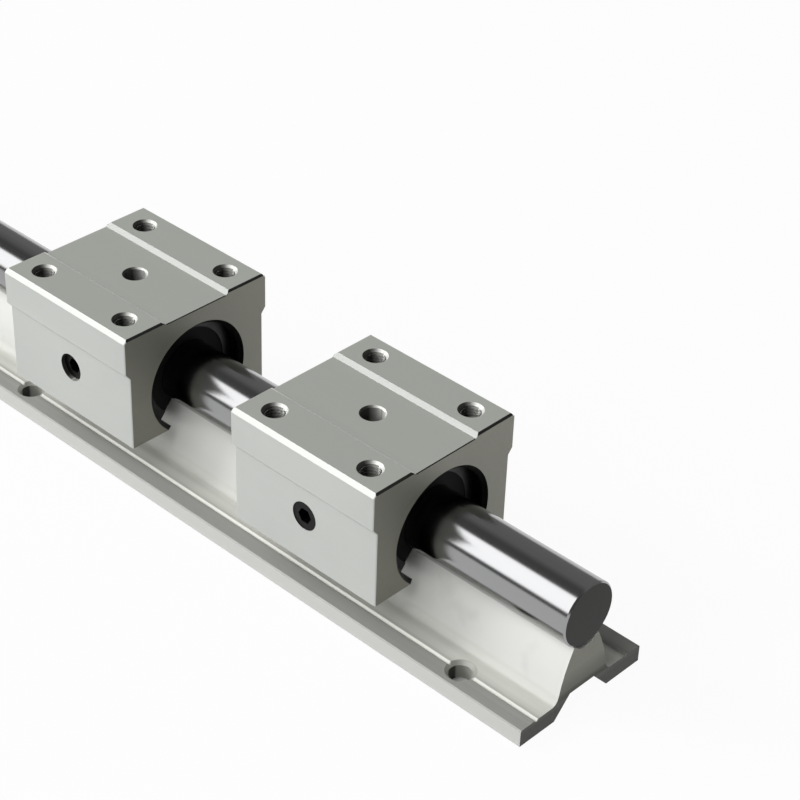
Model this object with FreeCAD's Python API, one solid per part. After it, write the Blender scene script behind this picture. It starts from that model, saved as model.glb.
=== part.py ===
"""Supported round rail, 16 mm, with two open carriages.

Millimetres, +Z up. The rail runs along X, its underside lies on Z = 0 and the
origin is the middle of that underside. The set screws of the carriages face -Y.
"""
import FreeCAD
import Part

import math
import os

V = FreeCAD.Vector
ALONG = V(1, 0, 0)
ACROSS = V(0, 1, 0)
UP = V(0, 0, 1)

# rail as cut from stock
RAIL_LENGTH = 500.0
SHAFT_DIAMETER = 16.0
SHAFT_CHAMFER = 0.4
SHAFT_AXIS_HEIGHT = 25.0

# support extrusion, seen from its end
BASE_WIDTH = 40.0
FLANGE_THICKNESS = 4.5
FLANGE_EDGE_CHAMFER = 0.3
WEB_FOOT_HALF_WIDTH = 8.25
WEB_MIDDLE_HALF_WIDTH = 6.75
WEB_MIDDLE_HEIGHT = 11.3
WEB_FILLET = 2.2
SEAT_HALF_WIDTH = 4.0
SEAT_RELIEF_HALF_WIDTH = 3.3
SEAT_RELIEF_DEPTH = 0.8
HOLLOW_HALF_WIDTH = 8.8
HOLLOW_ROOF_HALF_WIDTH = 4.0
HOLLOW_HEIGHT = 5.2

# holes through the two flanges, and the scribed groove they stand on
HOLE_PITCH = 150.0
LAST_HOLE_MARGIN = 10.0
FIRST_HOLE_FROM_END = 22.0
HOLE_LINE = 15.0
FLANGE_HOLE_DIAMETER = 5.5
FLANGE_HOLE_COUNTERSINK = 7.2
GROOVE_WIDTH = 1.2
GROOVE_DEPTH = 0.5

# M5 socket screws that hold the shaft down from below
SCREW_DIAMETER = 5.0
SCREW_LENGTH = 16.0
SCREW_HEAD_DIAMETER = 8.5
SCREW_HEAD_HEIGHT = 5.0
SCREW_SOCKET_ACROSS_FLATS = 4.0
SCREW_SOCKET_DEPTH = 2.5
SCREW_SEAT_HEIGHT = 7.0
SCREW_CLEARANCE = 0.25
HEAD_CLEARANCE = 0.35
THREAD_CLEARANCE = 0.03
TAPPED_HOLE_SPARE = 2.0

# carriage housing, an extruded block with a crown of two raised pads
CARRIAGE_LENGTH = 45.0
CARRIAGE_WIDTH = 45.0
TOP_ABOVE_AXIS = 20.0
SKIRT_BELOW_AXIS = 11.2
SKIRT_WIDTH = 42.4
SKIRT_STEP_TOP = 9.6
SKIRT_STEP_HEIGHT = 1.6
SIDE_CHAMFER = 1.0
END_CHAMFER = 0.5
EDGE_BREAK = 0.2
CROWN_HALF_WIDTH = 10.7
CROWN_FLOOR_HALF_WIDTH = 9.45
CROWN_DEPTH = 0.85
BORE_MOUTH_CHAMFER = 1.0
BEARING_FIT = 0.02

# where the two carriages stand on the rail in this state
FRONT_FROM_END = 65.0
CARRIAGE_SPACING = 81.6

# tapped holes on top of the carriage
TOP_HOLE_ALONG = 30.0
TOP_HOLE_ACROSS = 32.0
TOP_HOLE_DIAMETER = 5.0
TOP_HOLE_DEPTH = 12.0
TOP_HOLE_COUNTERSINK = 6.2
OIL_HOLE_DIAMETER = 5.6
OIL_HOLE_COUNTERSINK = 6.4

# set screw in the side, pointing at the bearing
SIDE_HOLE_DIAMETER = 7.3
SIDE_HOLE_ABOVE_AXIS = 1.4
SET_SCREW_LENGTH = 6.0
SET_SCREW_CLEARANCE = 0.04
SET_SCREW_SOCKET = 3.5
SET_SCREW_SOCKET_DEPTH = 3.0
SET_SCREW_BACKED_OUT = {"front": 1.1, "rear": 0.1}

# open linear bearing: steel sleeve, and in it a ball cage between two end seals
SLEEVE_LENGTH = 37.0
SLEEVE_WALL = 2.4
SLEEVE_OPENING_ANGLE = 80.0
SEAL_THICKNESS = 1.4
SEAL_SET_IN = 0.2
SHAFT_RUNNING_CLEARANCE = 0.05
CAGE_WALL = 3.47
CAGE_FIT = 0.02
CAGE_END_GAP = 0.1

RAIL_END = RAIL_LENGTH / 2
FRONT_CENTRE = RAIL_END - FRONT_FROM_END
REAR_CENTRE = FRONT_CENTRE - CARRIAGE_SPACING
CARRIAGE_TOP = SHAFT_AXIS_HEIGHT + TOP_ABOVE_AXIS
CARRIAGE_BOTTOM = SHAFT_AXIS_HEIGHT - SKIRT_BELOW_AXIS
SIDE_HOLE_HEIGHT = SHAFT_AXIS_HEIGHT + SIDE_HOLE_ABOVE_AXIS
SHAFT_RADIUS = SHAFT_DIAMETER / 2
CAGE_BORE = SHAFT_DIAMETER + 2 * SHAFT_RUNNING_CLEARANCE
CAGE_DIAMETER = CAGE_BORE + 2 * CAGE_WALL
SLEEVE_BORE = CAGE_DIAMETER + 2 * CAGE_FIT
SLEEVE_DIAMETER = SLEEVE_BORE + 2 * SLEEVE_WALL
BEARING_DIAMETER = SLEEVE_DIAMETER + 2 * BEARING_FIT
BEARING_RADIUS = BEARING_DIAMETER / 2


def hole_stations():
    """X of every hole in a row, from the near end of the rail."""
    first = RAIL_END - FIRST_HOLE_FROM_END
    room = RAIL_LENGTH - FIRST_HOLE_FROM_END - LAST_HOLE_MARGIN
    return [first - HOLE_PITCH * i for i in range(int(room // HOLE_PITCH) + 1)]


def line(start, end):
    return Part.makeLine(V(0, *start), V(0, *end))


def arc(start, middle, end):
    return Part.Arc(V(0, *start), V(0, *middle), V(0, *end)).toShape()


def polyline(points):
    return [line(a, b) for a, b in zip(points, points[1:])]


def bar(edges, start_x, length):
    """Closed (y, z) outline drawn out along the rail."""
    face = Part.Face(Part.Wire(edges))
    face.translate(ALONG * start_x)
    return face.extrude(ALONG * length)


def both_halves(half):
    """A half solid on one side of the middle plane, made whole."""
    other = half.mirror(V(0, 0, 0), ACROSS)
    return half.fuse(other).removeSplitter()


def rod(diameter, length, start, direction=UP):
    return Part.makeCylinder(diameter / 2, length, start, direction)


def countersink(mouth, drill, at, direction):
    """45 degree cone from a hole's mouth down to the drill."""
    depth = (mouth - drill) / 2
    return Part.makeCone(mouth / 2, drill / 2, depth, at, direction)


def hexagon_hole(across_flats, depth, at, direction):
    radius = across_flats / math.sqrt(3)
    corners = [V(radius * math.cos(math.radians(60 * i)),
                 radius * math.sin(math.radians(60 * i)), 0) for i in range(7)]
    prism = Part.Face(Part.makePolygon(corners)).extrude(UP * depth)
    prism.Placement = FreeCAD.Placement(at, FreeCAD.Rotation(UP, direction))
    return prism


def edges_at(solid, along_rail, y, z, reach):
    """Edges that run along the rail and pass a given (y, z)."""
    found = []
    for edge in solid.Edges:
        middle = edge.CenterOfMass
        runs_along = edge.BoundBox.XLength > along_rail - reach
        if runs_along and abs(abs(middle.y) - y) < reach and abs(middle.z - z) < reach:
            found.append(edge)
    return found


def height_on_arc(lowest, radius, y):
    """Height at y of a round trough whose lowest line lies on the middle plane."""
    return lowest + radius - math.sqrt(radius ** 2 - y ** 2)


def support_half():
    """Half of the support profile, with the relieved cradle the shaft sits in."""
    shaft_low = SHAFT_AXIS_HEIGHT - SHAFT_RADIUS
    seat_middle_y = (SEAT_RELIEF_HALF_WIDTH + SEAT_HALF_WIDTH) / 2
    seat_inner, seat_middle, seat_outer = [
        (y, height_on_arc(shaft_low, SHAFT_RADIUS, y))
        for y in (SEAT_RELIEF_HALF_WIDTH, seat_middle_y, SEAT_HALF_WIDTH)]
    relief_low = shaft_low - SEAT_RELIEF_DEPTH
    relief_rise = seat_inner[1] - relief_low
    relief_radius = (SEAT_RELIEF_HALF_WIDTH ** 2 + relief_rise ** 2) / (2 * relief_rise)
    relief_middle_y = SEAT_RELIEF_HALF_WIDTH / 2
    relief_middle = (relief_middle_y, height_on_arc(relief_low, relief_radius, relief_middle_y))
    foot = (WEB_FOOT_HALF_WIDTH, FLANGE_THICKNESS)
    groove_half = GROOVE_WIDTH / 2
    half_base = BASE_WIDTH / 2
    below = polyline([
        (0, relief_low),
        (0, HOLLOW_HEIGHT),
        (HOLLOW_ROOF_HALF_WIDTH, HOLLOW_HEIGHT),
        (HOLLOW_HALF_WIDTH, 0),
        (half_base, 0),
        (half_base, FLANGE_THICKNESS - FLANGE_EDGE_CHAMFER),
        (half_base - FLANGE_EDGE_CHAMFER, FLANGE_THICKNESS),
        (HOLE_LINE + groove_half, FLANGE_THICKNESS),
        (HOLE_LINE, FLANGE_THICKNESS - GROOVE_DEPTH),
        (HOLE_LINE - groove_half, FLANGE_THICKNESS),
        foot,
    ])
    web = arc(foot, (WEB_MIDDLE_HALF_WIDTH, WEB_MIDDLE_HEIGHT), seat_outer)
    seat = arc(seat_outer, seat_middle, seat_inner)
    relief = arc(seat_inner, relief_middle, (0, relief_low))
    return bar(below + [web, seat, relief], -RAIL_END, RAIL_LENGTH)


def make_support():
    support = both_halves(support_half())
    feet = edges_at(support, RAIL_LENGTH, WEB_FOOT_HALF_WIDTH, FLANGE_THICKNESS, 0.2)
    support = support.makeFillet(WEB_FILLET, feet)
    for x in hole_stations():
        for y in (-HOLE_LINE, HOLE_LINE):
            mouth = V(x, y, FLANGE_THICKNESS)
            support = support.cut(rod(FLANGE_HOLE_DIAMETER, FLANGE_THICKNESS, mouth, -UP))
            support = support.cut(
                countersink(FLANGE_HOLE_COUNTERSINK, FLANGE_HOLE_DIAMETER, mouth, -UP))
        shank = rod(SCREW_DIAMETER + 2 * SCREW_CLEARANCE, SHAFT_AXIS_HEIGHT, V(x, 0, 0))
        head = rod(SCREW_HEAD_DIAMETER + 2 * HEAD_CLEARANCE, SCREW_SEAT_HEIGHT, V(x, 0, 0))
        support = support.cut(shank).cut(head)
    return support


def make_shaft():
    """Ground shaft with chamfered ends, tapped from below for its screws."""
    shaft = rod(SHAFT_DIAMETER, RAIL_LENGTH, V(-RAIL_END, 0, SHAFT_AXIS_HEIGHT), ALONG)
    rims = [e for e in shaft.Edges if e.BoundBox.XLength < SHAFT_CHAMFER]
    shaft = shaft.makeChamfer(SHAFT_CHAMFER, rims)
    for x in hole_stations():
        depth = SCREW_SEAT_HEIGHT + SCREW_LENGTH + TAPPED_HOLE_SPARE
        shaft = shaft.cut(rod(SCREW_DIAMETER + 2 * THREAD_CLEARANCE, depth, V(x, 0, 0)))
    return shaft


def make_shaft_screw(x):
    """Socket head cap screw, head down in the hollow of the support."""
    underside = SCREW_SEAT_HEIGHT - SCREW_HEAD_HEIGHT
    head = rod(SCREW_HEAD_DIAMETER, SCREW_HEAD_HEIGHT, V(x, 0, underside))
    head = head.cut(hexagon_hole(SCREW_SOCKET_ACROSS_FLATS, SCREW_SOCKET_DEPTH, V(x, 0, underside), UP))
    return head.fuse(rod(SCREW_DIAMETER, SCREW_LENGTH, V(x, 0, SCREW_SEAT_HEIGHT)))


def housing_half(centre):
    """Half of the carriage block before anything is bored in it."""
    half_width = CARRIAGE_WIDTH / 2
    half_skirt = SKIRT_WIDTH / 2
    top = CARRIAGE_TOP
    edges = polyline([
        (0, CARRIAGE_BOTTOM),
        (0, top - CROWN_DEPTH),
        (CROWN_FLOOR_HALF_WIDTH, top - CROWN_DEPTH),
        (CROWN_HALF_WIDTH, top),
        (half_width - SIDE_CHAMFER, top),
        (half_width, top - SIDE_CHAMFER),
        (half_width, top - SKIRT_STEP_TOP),
        (half_skirt, top - SKIRT_STEP_TOP - SKIRT_STEP_HEIGHT),
        (half_skirt, CARRIAGE_BOTTOM),
        (0, CARRIAGE_BOTTOM),
    ])
    return bar(edges, centre - CARRIAGE_LENGTH / 2, CARRIAGE_LENGTH)


def end_wedge(centre, side, size, top, half_width):
    """Wedge that takes an upper edge off one end of a carriage."""
    face_x = centre + side * CARRIAGE_LENGTH / 2
    inner_x = face_x - side * size
    corners = [V(inner_x, -half_width, top), V(face_x, -half_width, top), V(face_x, -half_width, top - size)]
    return Part.Face(Part.makePolygon(corners + corners[:1])).extrude(ACROSS * 2 * half_width)


def bore_cutter(centre):
    """Bearing bore with a chamfered mouth at both ends."""
    start = V(centre - CARRIAGE_LENGTH / 2, 0, SHAFT_AXIS_HEIGHT)
    end = V(centre + CARRIAGE_LENGTH / 2, 0, SHAFT_AXIS_HEIGHT)
    mouth = BEARING_DIAMETER + 2 * BORE_MOUTH_CHAMFER
    bore = rod(BEARING_DIAMETER, CARRIAGE_LENGTH, start, ALONG)
    bore = bore.fuse(countersink(mouth, BEARING_DIAMETER, start, ALONG))
    return bore.fuse(countersink(mouth, BEARING_DIAMETER, end, -ALONG))


def top_hole_places(centre):
    return [V(centre + sx * TOP_HOLE_ALONG / 2, sy * TOP_HOLE_ACROSS / 2, CARRIAGE_TOP)
            for sx in (-1, 1) for sy in (-1, 1)]


def upright_end_edges(block, centre):
    """Outline edges of both end faces between the top chamfer and the bottom."""
    found = []
    for edge in block.Edges:
        box = edge.BoundBox
        on_end = abs(abs(box.Center.x - centre) - CARRIAGE_LENGTH / 2) < EDGE_BREAK / 2 and box.XLength < EDGE_BREAK / 2
        on_side = min(abs(box.YMin), abs(box.YMax)) > SKIRT_WIDTH / 2 - EDGE_BREAK / 2
        if on_end and on_side and box.ZLength > EDGE_BREAK:
            found.append(edge)
    return found


def make_housing(centre):
    block = both_halves(housing_half(centre))
    block = block.makeChamfer(EDGE_BREAK, upright_end_edges(block, centre))
    crown_floor = CARRIAGE_TOP - CROWN_DEPTH
    for side in (-1, 1):
        block = block.cut(end_wedge(centre, side, END_CHAMFER, CARRIAGE_TOP, CARRIAGE_WIDTH / 2))
        block = block.cut(end_wedge(centre, side, EDGE_BREAK, crown_floor, CROWN_FLOOR_HALF_WIDTH))
    block = block.cut(bore_cutter(centre))
    for place in top_hole_places(centre):
        block = block.cut(rod(TOP_HOLE_DIAMETER, TOP_HOLE_DEPTH, place, -UP))
        block = block.cut(countersink(TOP_HOLE_COUNTERSINK, TOP_HOLE_DIAMETER, place, -UP))
    oil_mouth = V(centre, 0, crown_floor)
    oil_depth = TOP_ABOVE_AXIS - CROWN_DEPTH
    block = block.cut(rod(OIL_HOLE_DIAMETER, oil_depth, oil_mouth, -UP))
    block = block.cut(countersink(OIL_HOLE_COUNTERSINK, OIL_HOLE_DIAMETER, oil_mouth, -UP))
    side_mouth = V(centre, -SKIRT_WIDTH / 2, SIDE_HOLE_HEIGHT)
    return block.cut(rod(SIDE_HOLE_DIAMETER, SKIRT_WIDTH / 2, side_mouth, ACROSS))


def opening_wedge(centre, length):
    """Sector below the axis that leaves a bearing part open for the web."""
    half_angle = math.radians(SLEEVE_OPENING_ANGLE / 2)
    reach = 2 * BEARING_RADIUS
    spread = reach * math.tan(half_angle)
    axis = (0, SHAFT_AXIS_HEIGHT)
    left = (-spread, SHAFT_AXIS_HEIGHT - reach)
    right = (spread, SHAFT_AXIS_HEIGHT - reach)
    return bar(polyline([axis, left, right, axis]), centre - length / 2, length)


def open_ring(centre_x, length, outer_diameter, inner_diameter):
    """Ring round the shaft, open below by the bearing's opening angle."""
    start = V(centre_x - length / 2, 0, SHAFT_AXIS_HEIGHT)
    ring = rod(outer_diameter, length, start, ALONG).cut(rod(inner_diameter, length, start, ALONG))
    return ring.cut(opening_wedge(centre_x, length))


def make_sleeve(centre):
    return open_ring(centre, SLEEVE_LENGTH, SLEEVE_DIAMETER, SLEEVE_BORE)


def make_seal(centre, side):
    """End seal, a little inside the sleeve's mouth."""
    middle = SLEEVE_LENGTH / 2 - SEAL_SET_IN - SEAL_THICKNESS / 2
    return open_ring(centre + side * middle, SEAL_THICKNESS, CAGE_DIAMETER, CAGE_BORE)


def make_cage(centre):
    """Cage that fills the sleeve between the two seals."""
    length = SLEEVE_LENGTH - 2 * (SEAL_SET_IN + SEAL_THICKNESS + CAGE_END_GAP)
    return open_ring(centre, length, CAGE_DIAMETER, CAGE_BORE)


def make_set_screw(centre, backed_out):
    """Headless screw with a hexagon socket, backed out a little from the sleeve."""
    face = V(centre, -BEARING_RADIUS - backed_out - SET_SCREW_LENGTH, SIDE_HOLE_HEIGHT)
    screw = rod(SIDE_HOLE_DIAMETER - 2 * SET_SCREW_CLEARANCE, SET_SCREW_LENGTH, face, ACROSS)
    return screw.cut(hexagon_hole(SET_SCREW_SOCKET, SET_SCREW_SOCKET_DEPTH, face, ACROSS))


def carriage_pieces(name, centre):
    return {
        name + "_housing": make_housing(centre),
        name + "_bearing_sleeve": make_sleeve(centre),
        name + "_ball_cage": make_cage(centre),
        name + "_outer_seal": make_seal(centre, 1),
        name + "_inner_seal": make_seal(centre, -1),
        name + "_set_screw": make_set_screw(centre, SET_SCREW_BACKED_OUT[name]),
    }


def rail_pieces():
    pieces = {"support_rail": make_support(), "round_shaft": make_shaft()}
    for number, x in enumerate(hole_stations(), start=1):
        pieces["shaft_screw_%d" % number] = make_shaft_screw(x)
    return pieces


pieces = rail_pieces()
pieces.update(carriage_pieces("front", FRONT_CENTRE))
pieces.update(carriage_pieces("rear", REAR_CENTRE))

os.makedirs("parts", exist_ok=True)
for name, shape in pieces.items():
    shape.exportStep("parts/%s.step" % name)
    print("%-24s %10.1f mm3" % (name, shape.Volume))
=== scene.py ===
import bpy
import math
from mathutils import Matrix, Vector


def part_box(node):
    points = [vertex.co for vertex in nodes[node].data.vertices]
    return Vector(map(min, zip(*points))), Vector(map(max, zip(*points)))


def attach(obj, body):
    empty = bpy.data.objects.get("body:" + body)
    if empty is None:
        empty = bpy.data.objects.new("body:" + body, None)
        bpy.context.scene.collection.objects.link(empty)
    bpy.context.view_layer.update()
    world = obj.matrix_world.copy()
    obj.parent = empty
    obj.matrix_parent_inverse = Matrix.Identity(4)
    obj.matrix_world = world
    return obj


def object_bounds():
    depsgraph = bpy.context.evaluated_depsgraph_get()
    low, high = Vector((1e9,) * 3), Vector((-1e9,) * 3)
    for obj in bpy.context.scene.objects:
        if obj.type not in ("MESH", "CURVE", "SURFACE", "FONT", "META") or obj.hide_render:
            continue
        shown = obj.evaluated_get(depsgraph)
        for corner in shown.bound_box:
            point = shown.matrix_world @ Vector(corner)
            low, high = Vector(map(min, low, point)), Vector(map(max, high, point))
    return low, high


mm = 0.001

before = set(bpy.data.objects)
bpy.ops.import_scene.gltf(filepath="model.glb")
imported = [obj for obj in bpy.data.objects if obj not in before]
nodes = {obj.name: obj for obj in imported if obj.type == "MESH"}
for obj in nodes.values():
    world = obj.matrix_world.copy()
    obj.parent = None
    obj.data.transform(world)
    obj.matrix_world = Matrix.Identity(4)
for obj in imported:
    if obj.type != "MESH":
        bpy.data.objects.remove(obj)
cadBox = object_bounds()
print("frame loaded,", len(nodes), "solids")

# where things are, read from the solids
shaftLow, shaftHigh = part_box("round_shaft")
axisHeight = (shaftLow.z + shaftHigh.z) / 2
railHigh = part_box("support_rail")[1]
carriageNames = ("front", "rear")


def middleOf(node):
    low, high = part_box(node)
    return (low + high) / 2


# shader helpers
class Wire:
    # one socket of a node tree; maths on it adds Math nodes
    def __init__(self, paint, socket):
        self.paint = paint
        self.socket = socket

    def maths(self, operation, *values):
        return self.paint.node("ShaderNodeMath", {"operation": operation}, dict(enumerate(values)))

    def __add__(self, other):
        return self.maths("ADD", self, other)

    def __radd__(self, other):
        return self.maths("ADD", other, self)

    def __sub__(self, other):
        return self.maths("SUBTRACT", self, other)

    def __rsub__(self, other):
        return self.maths("SUBTRACT", other, self)

    def __mul__(self, other):
        return self.maths("MULTIPLY", self, other)

    def __rmul__(self, other):
        return self.maths("MULTIPLY", other, self)

    def __pow__(self, other):
        return self.maths("POWER", self, other)

    def __abs__(self):
        return self.maths("ABSOLUTE", self)

    def pingPong(self, half):
        # up and down between 0 and half, so a pattern repeats every two halves
        return self.maths("PINGPONG", self, half)


class Paint:
    # one material, world or lamp node tree
    def __init__(self, owner):
        owner.use_nodes = True
        self.owner = owner
        self.tree = owner.node_tree
        self.tree.nodes.clear()

    def node(self, kind, settings=None, values=None, output=0):
        made = self.tree.nodes.new(kind)
        for name, value in (settings or {}).items():
            setattr(made, name, value)
        for name, value in (values or {}).items():
            if isinstance(value, Wire):
                self.tree.links.new(value.socket, made.inputs[name])
            else:
                made.inputs[name].default_value = value
        if not made.outputs:
            return made
        return Wire(self, made.outputs[output])

    def place(self):
        return self.node("ShaderNodeTexCoord", output="Object")

    def axes(self, vector):
        split = self.node("ShaderNodeSeparateXYZ", values={"Vector": vector})
        outputs = split.socket.node.outputs
        return [Wire(self, outputs[i]) for i in range(3)]

    def facing(self):
        return self.axes(self.node("ShaderNodeTexCoord", output="Normal"))

    def noise(self, vector, pattern):
        # a pattern is its scale, the same for all axes or one each, then detail and roughness
        scale, detail, rough = pattern
        if isinstance(scale, tuple):
            vector = self.node("ShaderNodeMapping", values={"Vector": vector, "Scale": scale})
            scale = 1.0
        return self.node("ShaderNodeTexNoise", values={
            "Vector": vector, "Scale": scale, "Detail": detail, "Roughness": rough})

    def rise(self, value, span):
        # 0 below the span, 1 above it, straight between
        low, high = span
        return self.node("ShaderNodeMapRange", {"clamp": True}, {
            "Value": value, "From Min": low, "From Max": high, "To Min": 0.0, "To Max": 1.0})

    def blend(self, share, first, second):
        # the Mix node's colours are its inputs 6 and 7 and its output 2
        return self.node("ShaderNodeMix", {"data_type": "RGBA", "clamp_factor": True},
                         {0: share, 6: first, 7: second}, output=2)

    def bump(self, height, strength, distance, normal=None):
        values = {"Height": height, "Strength": strength, "Distance": distance}
        if normal is not None:
            values["Normal"] = normal
        return self.node("ShaderNodeBump", values=values)

    def softEdge(self, radius, samples=4):
        return self.node("ShaderNodeBevel", {"samples": samples}, {"Radius": radius})

    def finish(self, shader, kind="ShaderNodeOutputMaterial"):
        self.node(kind, values={"Surface": shader})
        return self.owner


def newPaint(name):
    return Paint(bpy.data.materials.new(name))


carriageFinish = {
    "drawn": (0.515, 0.53, 0.505, 1),      # long faces, as drawn through the die
    "drawnDull": (0.49, 0.505, 0.483, 1),
    "top": (0.58, 0.60, 0.55, 1),          # pads and channel, painted light: lighter than the long faces
    "sloped": (0.53, 0.545, 0.52, 1),      # long chamfers and the channel's far wall
    "slopedPaintedLight": (0.96, 0.97, 0.94, 1),   # painted light on the slopes facing +Y, the channel's near wall among them
    "paintedHoleWall": (0.86, 0.87, 0.83, 1),      # painted highlight on the wall of a hole that faces the softbox
    "holeWallShade": (0.05, 0.05, 0.045, 1),  # painted shade, as if mirroring the hole's dark bottom, on the wall facing away from the softbox
    "milledEndShade": (0.28, 0.28, 0.242, 1),      # end faces, milled, painted dark as shade
    "chamfered": (0.03, 0.03, 0.027, 1),   # painted shade along the end edges of the pads
    "bored": (0.010, 0.010, 0.009, 1),     # painted shade inside the bearing bore
    "roughness": 0.46,
    "milledRoughness": 0.5,
    "linesRoughness": 0.14,                # how much the die lines vary it
    "grainRoughness": 0.05,
    "metal": 0.55,
    "edgeRadius": 0.06 * mm,
    "relief": 0.02 * mm,
    "reliefStrength": 0.2,
    "linesRelief": 0.6,                    # share of the die lines in the relief, the rest is grain
    # noise patterns
    "dieLines": ((8, 900, 900), 3, 0.6),
    "grain": (2600.0, 2, 0.6),
    "clouds": (38.0, 2, 0.5),
    "millMarks": ((900, 90, 1400), 2, 0.55),
    "cloudSpan": (0.35, 0.65),
    # places where one surface ends and the next begins
    "endPlace": (22.0 * mm, 22.02 * mm),   # along, from the carriage's middle
    "borePlace": (15.05 * mm, 15.10 * mm), # from the shaft's axis
    # parts of the normal that tell the faces apart
    "endFacing": (0.80, 0.95),
    "edgeFacing": (0.50, 0.60),
    "holeFacing": (0.05, 0.10),
    "topFacing": (0.90, 0.98),
    "slopeFacing": (0.30, 0.50),
    "slopeSide": (-0.1, 0.1),
    "holeSide": (-1.1, 0.5),
}


def carriageAluminium(name, centre):
    look = carriageFinish
    p = newPaint(name)
    place = p.place()
    x, y, z = p.axes(place)
    nx, ny, nz = p.facing()
    # masks, 1 on the surface that they are named for
    atEnd = p.rise(abs(x - centre.x), look["endPlace"])
    endFace = p.rise(abs(nx), look["endFacing"]) * atEnd
    endEdge = p.rise(abs(nx), look["edgeFacing"]) * p.rise(nz, look["edgeFacing"])
    endEdge = endEdge * (1 - endFace) * atEnd
    inHole = p.rise(abs(nx), look["holeFacing"]) * (1 - atEnd)
    upward = p.rise(nz, look["topFacing"])
    sloped = p.rise(abs(ny), look["slopeFacing"]) * p.rise(abs(nz), look["slopeFacing"])
    sloped = sloped * (1 - p.rise(abs(nz), look["topFacing"]))
    up = z - axisHeight
    fromAxis = (y * y + up * up) ** 0.5
    inBore = (1 - p.rise(fromAxis, look["borePlace"])) * (1 - endFace)
    dieLines = p.noise(place, look["dieLines"])
    grain = p.noise(place, look["grain"])
    clouds = p.noise(place, look["clouds"])
    millMarks = p.noise(place, look["millMarks"])
    # each tone is laid over the ones before it
    colour = p.blend(p.rise(clouds, look["cloudSpan"]), look["drawn"], look["drawnDull"])
    # painted light: the upward faces lighter than the long faces
    colour = p.blend(upward, colour, look["top"])
    # slopes facing +Y get painted light
    slope = p.blend(p.rise(ny, look["slopeSide"]), look["sloped"], look["slopedPaintedLight"])
    colour = p.blend(sloped, colour, slope)
    # hole walls: painted highlight towards the softbox, painted shade away from it
    wall = p.blend(p.rise(nx + ny, look["holeSide"]), look["paintedHoleWall"], look["holeWallShade"])
    colour = p.blend(inHole, colour, wall)
    # painted shade on the end faces
    colour = p.blend(endFace, colour, look["milledEndShade"])
    # painted shade on the pads' end edges
    colour = p.blend(endEdge, colour, look["chamfered"])
    # painted shade inside the bore
    colour = p.blend(inBore, colour, look["bored"])
    rough = look["roughness"] + (dieLines - 0.5) * look["linesRoughness"]
    rough = rough + (grain - 0.5) * look["grainRoughness"]
    rough = rough + endFace * (look["milledRoughness"] - look["roughness"])
    metal = look["metal"] + inBore * (1 - look["metal"])
    drawnRelief = dieLines * look["linesRelief"] + grain * (1 - look["linesRelief"])
    height = drawnRelief * (1 - endFace) + millMarks * endFace
    edge = p.softEdge(look["edgeRadius"])
    shader = p.node("ShaderNodeBsdfPrincipled", values={
        "Base Color": colour, "Metallic": metal, "Roughness": rough,
        "Normal": p.bump(height, look["reliefStrength"], look["relief"], edge)})
    return p.finish(shader)


railFinish = {
    "web": (0.64, 0.644, 0.619, 1),
    "webDull": (0.612, 0.616, 0.592, 1),
    "smudged": (0.55, 0.55, 0.526, 1),
    "foot": (0.56, 0.565, 0.532, 1),       # round between flange and web, painted darker as shade over its highlight
    "flange": (0.66, 0.665, 0.615, 1),
    "flangeDull": (0.62, 0.625, 0.575, 1),
    "flangeOuterShade": (0.35, 0.35, 0.33, 1),  # outside the groove, painted darker as shade
    # outer side faces, painted darker as shade
    "flangeSideShade": (0.50, 0.505, 0.485, 1),
    "grooveSideShade": (0.2, 0.2, 0.18, 1),     # painted shade in the strips left and right of the groove
    "grooveShade": 0.35,                   # share of that painted shade
    "streakTone": (0, 0, 0, 1),
    "streaks": 0.16,                       # share of it in the darkest die lines
    "paintedHoleWall": (0.34, 0.34, 0.31, 1),      # painted shade on the countersinks and walls of the flange holes
    "sawnShaded": (0.28, 0.28, 0.235, 1),        # end faces, sawn, painted dark as shade
    "sawnLowShade": (0.035, 0.035, 0.03, 1),    # painted shade, darker on their lower part
    "roughness": 0.48,
    "webRoughness": 0.45,
    "sawnRoughness": 0.5,
    "footRoughness": 0.2,                  # added to the flange's
    "linesRoughness": 0.16,
    "grainRoughness": 0.05,
    "metal": 0.2,
    "webMetal": 0.04,
    "edgeRadius": 0.05 * mm,
    "relief": 0.02 * mm,
    "reliefStrength": 0.22,
    "linesRelief": 0.7,
    # noise patterns
    "dieLines": ((3, 1100, 1100), 4, 0.6),
    "streakLines": ((5, 420, 420), 3, 0.6),
    "smudges": (55.0, 3, 0.6),
    "grain": (2400.0, 2, 0.6),
    "clouds": ((20, 60, 60), 2, 0.5),
    "sawMarks": ((900, 1300, 60), 2, 0.55),
    "streakSpan": (0.3, 0.7),
    "smudgeSpan": (0.60, 0.75),
    "wornSpan": (0.35, 0.7),
    # places: the groove's line and the holes on it, then heights
    "grooveLine": 15.0 * mm,
    "grooveEdge": (-0.3 * mm, 0.3 * mm),   # across, from that line
    "shadeStart": (0.55 * mm, 0.7 * mm),
    "shadeEnd": (0.8 * mm, 1.8 * mm),
    "holeFirst": 78.0 * mm,                # along the rail, one of the holes
    "holePitch": 150.0 * mm,
    "holePlace": (3.65 * mm, 3.68 * mm),   # from a hole's axis
    "footPlace": (4.55 * mm, 5.05 * mm),
    "webPlace": (5.9 * mm, 6.9 * mm),
    "sawnPlace": (3 * mm, 12 * mm),
    # parts of the normal that tell the faces apart
    "endFacing": (0.85, 0.95),
    "sideFacing": (0.80, 0.95),
}


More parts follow.
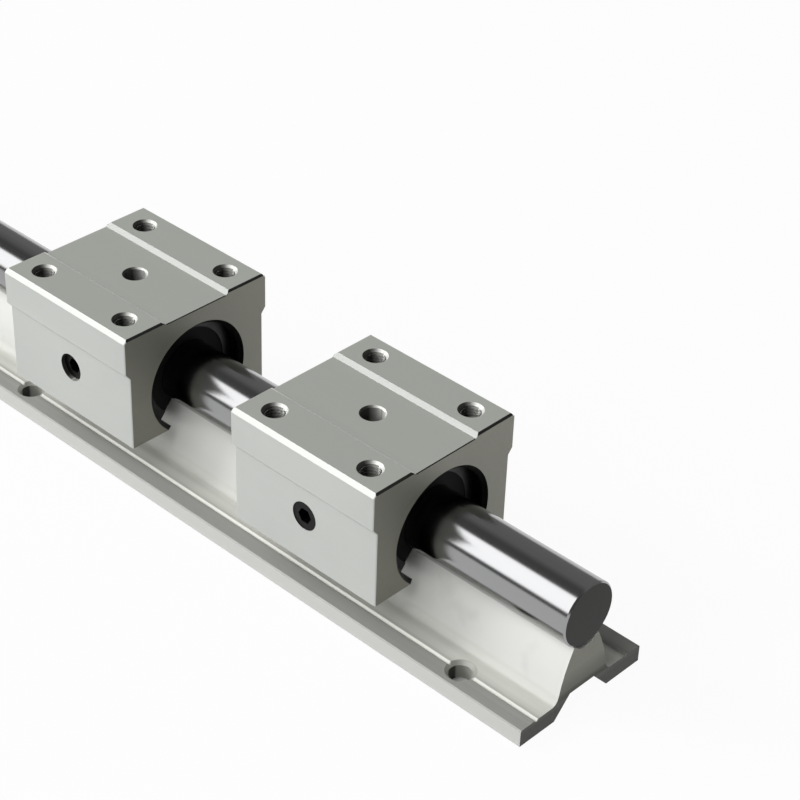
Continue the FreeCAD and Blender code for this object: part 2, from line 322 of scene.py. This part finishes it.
def railAluminium():
    look = railFinish
    p = newPaint("rail_aluminium")
    place = p.place()
    x, y, z = p.axes(place)
    nx, ny = p.facing()[:2]
    # masks, 1 on the surface that they are named for
    endFace = p.rise(abs(nx), look["endFacing"])
    onWeb = p.rise(z, look["webPlace"])
    onFoot = p.rise(z, look["footPlace"]) * (1 - onWeb)
    across = abs(y) - look["grooveLine"]
    outer = p.rise(across, look["grooveEdge"])
    fromGroove = abs(across)
    nearGroove = p.rise(fromGroove, look["shadeStart"]) * (1 - p.rise(fromGroove, look["shadeEnd"]))
    along = (x - look["holeFirst"]).pingPong(look["holePitch"] / 2)
    fromHole = (along * along + across * across) ** 0.5
    inHole = 1 - p.rise(fromHole, look["holePlace"])
    dieLines = p.noise(place, look["dieLines"])
    streak = p.rise(p.noise(place, look["streakLines"]), look["streakSpan"])
    smudge = p.rise(p.noise(place, look["smudges"]), look["smudgeSpan"])
    grain = p.noise(place, look["grain"])
    worn = p.rise(p.noise(place, look["clouds"]), look["wornSpan"])
    sawMarks = p.noise(place, look["sawMarks"])
    # each tone is laid over the ones before it
    web = p.blend(worn, look["web"], look["webDull"])
    web = p.blend(smudge, web, look["smudged"])
    flange = p.blend(worn, look["flange"], look["flangeDull"])
    # painted shade on the outer strip
    flange = p.blend(outer, flange, look["flangeOuterShade"])
    # painted shade beside the groove
    flange = p.blend(nearGroove * look["grooveShade"], flange, look["grooveSideShade"])
    flange = p.blend(streak * look["streaks"], flange, look["streakTone"])
    # painted shade on the outer side faces
    flange = p.blend(p.rise(abs(ny), look["sideFacing"]) * outer, flange, look["flangeSideShade"])
    # painted shade in the flange holes
    flange = p.blend(inHole, flange, look["paintedHoleWall"])
    # painted shade at the foot
    drawn = p.blend(onWeb, p.blend(onFoot, flange, look["foot"]), web)
    # painted shade on the end faces, darker towards the bottom
    sawnShaded = p.blend(p.rise(z, look["sawnPlace"]), look["sawnLowShade"], look["sawnShaded"])
    colour = p.blend(endFace, drawn, sawnShaded)
    rough = look["roughness"] + (dieLines - 0.5) * look["linesRoughness"]
    rough = rough + (grain - 0.5) * look["grainRoughness"]
    rough = rough + onFoot * look["footRoughness"]
    rough = rough + onWeb * (1 - endFace) * (look["webRoughness"] - look["roughness"])
    rough = rough + endFace * (look["sawnRoughness"] - look["roughness"])
    metal = look["metal"] + onWeb * (look["webMetal"] - look["metal"])
    metal = metal * (1 - onFoot)
    drawnRelief = dieLines * look["linesRelief"] + grain * (1 - look["linesRelief"])
    height = drawnRelief * (1 - endFace) + sawMarks * endFace
    edge = p.softEdge(look["edgeRadius"])
    shader = p.node("ShaderNodeBsdfPrincipled", values={
        "Base Color": colour, "Metallic": metal, "Roughness": rough,
        "Normal": p.bump(height, look["reliefStrength"], look["relief"], edge)})
    return p.finish(shader)


shaftFinish = {
    "chrome": (0.325, 0.327, 0.330, 1),
    # the cut end is painted near black as shade
    "cutEndShade": (0.020, 0.0195, 0.018, 1),
    "roughness": 0.15,
    "cutRoughness": 0.42,
    "handledRoughness": 0.05,      # how much handling varies it
    "grinding": 0.004 * mm,        # depth of the fine rings left by the grinding wheel
    "turning": 0.05,               # depth of the rings on the cut end, as a share of that
    "ringsPerMetre": 2400,
    # noise patterns
    "grindLines": ((16000, 150, 150), 1, 0.5),
    "handling": (60.0, 3, 0.55),
    "rings": (1.0, 2, 0.5),
    "endFacing": (0.9, 0.97),      # part of the normal that tells the end faces
}


def chromedSteel():
    look = shaftFinish
    p = newPaint("shaft_chrome")
    place = p.place()
    y, z = p.axes(place)[1:]
    endFace = p.rise(abs(p.facing()[0]), look["endFacing"])
    grindLines = p.noise(place, look["grindLines"])
    handled = p.noise(place, look["handling"])
    up = z - axisHeight
    radial = (y * y + up * up) ** 0.5
    outward = p.node("ShaderNodeCombineXYZ", values={"X": radial * look["ringsPerMetre"]})
    turned = p.noise(outward, look["rings"])
    # painted shade on the cut end
    colour = p.blend(endFace, look["chrome"], look["cutEndShade"])
    rough = look["roughness"] + (handled - 0.5) * look["handledRoughness"]
    rough = rough + endFace * (look["cutRoughness"] - look["roughness"])
    height = grindLines * (1 - endFace) + turned * endFace * look["turning"]
    shader = p.node("ShaderNodeBsdfPrincipled", values={
        "Base Color": colour, "Metallic": 1.0, "Roughness": rough,
        "Normal": p.bump(height, 1.0, look["grinding"])})
    return p.finish(shader)


# the dark small parts; patches and grain are noise patterns
smallFinishes = {
    "black_steel": {
        "colour": (0.009, 0.0095, 0.009, 1), "dull": (0.006, 0.006, 0.006, 1),
        "roughness": 0.42, "patchRoughness": 0.2, "metal": 0.9, "gloss": 0.5,
        "patches": (900.0, 3, 0.55), "grain": (3000.0, 2, 0.5), "reliefStrength": 0.2},
    # near black: painted shade of the recess inside the bore
    "bearing_steel": {
        "colour": (0.04, 0.04, 0.04, 1), "dull": (0.03, 0.03, 0.03, 1),
        "roughness": 0.4, "patchRoughness": 0.2, "metal": 0.9, "gloss": 0.5,
        "patches": (300.0, 3, 0.55), "grain": (3000.0, 2, 0.5), "reliefStrength": 0.2},
    "cage_plastic": {
        "colour": (0.02, 0.02, 0.02, 1), "dull": (0.03, 0.03, 0.03, 1),
        "roughness": 0.5, "patchRoughness": 0.15, "metal": 0.0, "gloss": 0.1,
        "patches": (400.0, 3, 0.55), "grain": (5000.0, 2, 0.5), "reliefStrength": 0.3},
    "seal_rubber": {
        "colour": (0.005, 0.005, 0.005, 1), "dull": (0.008, 0.008, 0.008, 1),
        "roughness": 0.6, "patchRoughness": 0.15, "metal": 0.0, "gloss": 0.1,
        "patches": (400.0, 3, 0.55), "grain": (5000.0, 2, 0.5), "reliefStrength": 0.3},
}
patchSpan = (0.35, 0.7)
smallRelief = 0.02 * mm


def smallPartFinish(name):
    look = smallFinishes[name]
    p = newPaint(name)
    place = p.place()
    patches = p.noise(place, look["patches"])
    grain = p.noise(place, look["grain"])
    shader = p.node("ShaderNodeBsdfPrincipled", values={
        "Base Color": p.blend(p.rise(patches, patchSpan), look["colour"], look["dull"]),
        "Metallic": look["metal"],
        "Roughness": look["roughness"] + (patches - 0.5) * look["patchRoughness"],
        "Specular IOR Level": look["gloss"],
        "Normal": p.bump(grain, look["reliefStrength"], smallRelief)})
    return p.finish(shader)


def give(node, material):
    piece = nodes[node]
    for place in piece.material_slots:
        place.material = material
    if not piece.material_slots:
        piece.data.materials.append(material)


print("materials")
give("support_rail", railAluminium())
give("round_shaft", chromedSteel())
small = {name: smallPartFinish(name) for name in smallFinishes}
for number in range(1, 5):
    give("shaft_screw_%d" % number, small["black_steel"])
for name in carriageNames:
    housing = name + "_housing"
    give(housing, carriageAluminium(name + "_carriage_aluminium", middleOf(housing)))
    # the sleeve's near-black tone is painted shade
    give(name + "_bearing_sleeve", small["bearing_steel"])
    give(name + "_ball_cage", small["cage_plastic"])
    give(name + "_outer_seal", small["seal_rubber"])
    give(name + "_inner_seal", small["seal_rubber"])
    give(name + "_set_screw", small["black_steel"])

# thread ridges in the tapped holes, which the solids leave plain
holeThread = {
    "pitch": 0.8 * mm,
    "crest": 2.10 * mm,         # radius of the thread's inner edge
    "root": 2.52 * mm,          # just inside the wall of the hole
    "start": 0.9 * mm,          # below the pads
    "turns": 12,
    "steps": 18,
    "smoothAngle": 30.0,
    "holesX": (-15 * mm, 15 * mm),
    "holesY": (-16 * mm, 16 * mm),
}


def finishMesh(piece):
    bpy.ops.object.select_all(action="DESELECT")
    piece.select_set(True)
    bpy.context.view_layer.objects.active = piece
    bpy.ops.object.mode_set(mode="EDIT")
    bpy.ops.mesh.select_all(action="SELECT")
    bpy.ops.mesh.normals_make_consistent(inside=False)
    bpy.ops.object.mode_set(mode="OBJECT")
    bpy.ops.object.transform_apply(location=True, rotation=True, scale=True)
    bpy.ops.object.shade_smooth_by_angle(angle=math.radians(holeThread["smoothAngle"]))


def threadRidge(name):
    # a triangle swept down one hole; the sweep's axis is the hole's own
    radius = (holeThread["root"] - holeThread["crest"]) * 2 / 3
    bpy.ops.object.select_all(action="DESELECT")
    bpy.ops.mesh.primitive_circle_add(
        vertices=3, radius=radius, fill_type="NOTHING",
        location=(holeThread["crest"] + radius, 0, 0), rotation=(math.pi / 2, math.pi / 2, 0))
    ridge = bpy.context.object
    ridge.name = name
    bpy.ops.object.transform_apply(location=True, rotation=True, scale=True)
    screw = ridge.modifiers.new("turns", "SCREW")
    screw.axis = "Z"
    screw.screw_offset = -holeThread["pitch"]
    screw.iterations = holeThread["turns"]
    screw.steps = screw.render_steps = holeThread["steps"]
    screw.use_merge_vertices = False
    bpy.ops.object.modifier_apply(modifier="turns")
    bpy.ops.object.mode_set(mode="EDIT")
    bpy.ops.mesh.select_all(action="SELECT")
    bpy.ops.mesh.fill_holes(sides=3)
    bpy.ops.object.mode_set(mode="OBJECT")
    return ridge


def threadedHoles(carriage):
    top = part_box(carriage + "_housing")[1].z
    centre = middleOf(carriage + "_housing")
    places = [(x, y) for x in holeThread["holesX"] for y in holeThread["holesY"]]
    for number, (x, y) in enumerate(places, 1):
        ridge = threadRidge("%s_thread_%d" % (carriage, number))
        ridge.location = (centre.x + x, centre.y + y, top - holeThread["start"])
        finishMesh(ridge)
        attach(ridge, carriage + "_carriage")
        ridge.data.materials.append(nodes[carriage + "_housing"].material_slots[0].material)


print("threads")
for name in carriageNames:
    threadedHoles(name)

studio = {
    "floorSize": 12.0,
    "floorColour": (0.68, 0.68, 0.675, 1),
    "floorWhite": 0.95,              # share of plain white that camera and reflections see
    "shadeInner": (11.0 * mm, 12.0 * mm),  # under the rail's two flanges, from its middle out,
    "shadeBorder": 2.0 * mm,               # to its edges, the paper keeps its own shade
    "backdrop": 0.96,                # what the camera sees past the floor's edge
    "horizon": 0.9,
    "darkening": (0.02, 0.06),       # sines of the heights where the pale horizon turns dark
    "dark": 0.12,                    # overhead and over the near side
    "farSide": 0.26,                 # over the side away from the camera
    "farSideSpan": (0.12, 0.42),
    "cameraPlace": (0.46575, -0.29364, 0.32919),
    "cameraTurn": (55.288, -1.699, 44.057),
    "lens": 99.92,
    "sensor": 36.0,
    "cameraReach": (0.01, 50.0),
    "softboxPlace": (-2.45, -1.652, 1.542),
    "softboxTilt": 47.0,             # about the rail's direction, so reflections run along it
    "softboxSize": (6.7, 2.6),
    "softboxPower": 148.0,
    "softboxFade": 0.12,             # share of the softbox's width over which its edge fades
    "keyPlace": (-2.0, -1.56, 1.86),
    "keyTarget": (0.15, 0.0, 0.02),
    "keySize": 0.9,
    "keyPower": 44.0,
}
white = (1, 1, 1, 1)


def makeCamera():
    bpy.ops.object.camera_add(
        location=studio["cameraPlace"], rotation=[math.radians(a) for a in studio["cameraTurn"]])
    camera = bpy.context.object
    camera.name = "camera"
    camera.data.sensor_width = studio["sensor"]
    camera.data.lens = studio["lens"]
    camera.data.clip_start, camera.data.clip_end = studio["cameraReach"]
    bpy.context.scene.camera = camera


def makeFloor():
    bpy.ops.object.select_all(action="DESELECT")
    bpy.ops.mesh.primitive_plane_add(size=studio["floorSize"], location=(0, 0, cadBox[0].z))
    floor = bpy.context.object
    floor.name = "floor"
    bpy.ops.object.transform_apply(location=True, rotation=True, scale=True)
    p = newPaint("floor_paper")
    seen = p.node("ShaderNodeLightPath", output="Is Camera Ray")
    mirrored = p.node("ShaderNodeLightPath", output="Is Glossy Ray")
    through = p.node("ShaderNodeLightPath", output="Is Transmission Ray")
    x, y = p.axes(p.place())[:2]
    border = studio["shadeBorder"]
    shaded = p.rise(abs(y), studio["shadeInner"])
    shaded = shaded * (1 - p.rise(abs(y), (railHigh.y - border, railHigh.y)))
    shaded = shaded * (1 - p.rise(abs(x), (railHigh.x - border, railHigh.x)))
    share = (seen + mirrored + through) * studio["floorWhite"] * (1 - shaded)
    paper = p.node("ShaderNodeBsdfDiffuse", values={"Color": studio["floorColour"]})
    glow = p.node("ShaderNodeEmission", values={"Color": white, "Strength": 1.0})
    mixed = p.node("ShaderNodeMixShader", values={0: share, 1: paper, 2: glow})
    floor.data.materials.append(p.finish(mixed))


def makeSky():
    world = bpy.context.scene.world or bpy.data.worlds.new("studio")
    bpy.context.scene.world = world
    p = Paint(world)
    y, z = p.axes(p.node("ShaderNodeTexCoord", output="Generated"))[1:]
    darkened = p.rise(z, studio["darkening"])
    farSide = p.rise(y, studio["farSideSpan"])
    above = studio["dark"] + farSide * (studio["farSide"] - studio["dark"])
    level = studio["horizon"] * (1 - darkened) + above * darkened
    seen = p.node("ShaderNodeLightPath", output="Is Camera Ray")
    level = level * (1 - seen) + studio["backdrop"] * seen
    light = p.node("ShaderNodeBackground", values={"Color": white, "Strength": level})
    p.finish(light, "ShaderNodeOutputWorld")


def makeSoftbox():
    bpy.ops.object.light_add(
        type="AREA", location=studio["softboxPlace"],
        rotation=(math.radians(studio["softboxTilt"]), 0, 0))
    lamp = bpy.context.object
    lamp.name = "softbox"
    lamp.data.shape = "RECTANGLE"
    lamp.data.size, lamp.data.size_y = studio["softboxSize"]
    lamp.data.energy = studio["softboxPower"]
    p = Paint(lamp.data)
    width = p.axes(p.node("ShaderNodeNewGeometry", output="Parametric"))[1]
    fade = (0.0, studio["softboxFade"])
    cloth = p.rise(width, fade) * p.rise(1 - width, fade)
    light = p.node("ShaderNodeEmission", values={"Color": white, "Strength": cloth})
    p.finish(light, "ShaderNodeOutputLight")


def makeKey():
    # gives the carriages their soft shade on the rail, and leaves no spot in the chrome
    place = Vector(studio["keyPlace"])
    turn = (Vector(studio["keyTarget"]) - place).to_track_quat("-Z", "Y").to_euler()
    bpy.ops.object.light_add(type="AREA", location=place, rotation=turn)
    lamp = bpy.context.object
    lamp.name = "key"
    lamp.data.shape = "DISK"
    lamp.data.size = studio["keySize"]
    lamp.data.energy = studio["keyPower"]
    lamp.visible_glossy = False


print("studio")
makeCamera()
makeFloor()
makeSky()
makeSoftbox()
makeKey()

bpy.context.scene.view_settings.view_transform = "Standard"

print("done")
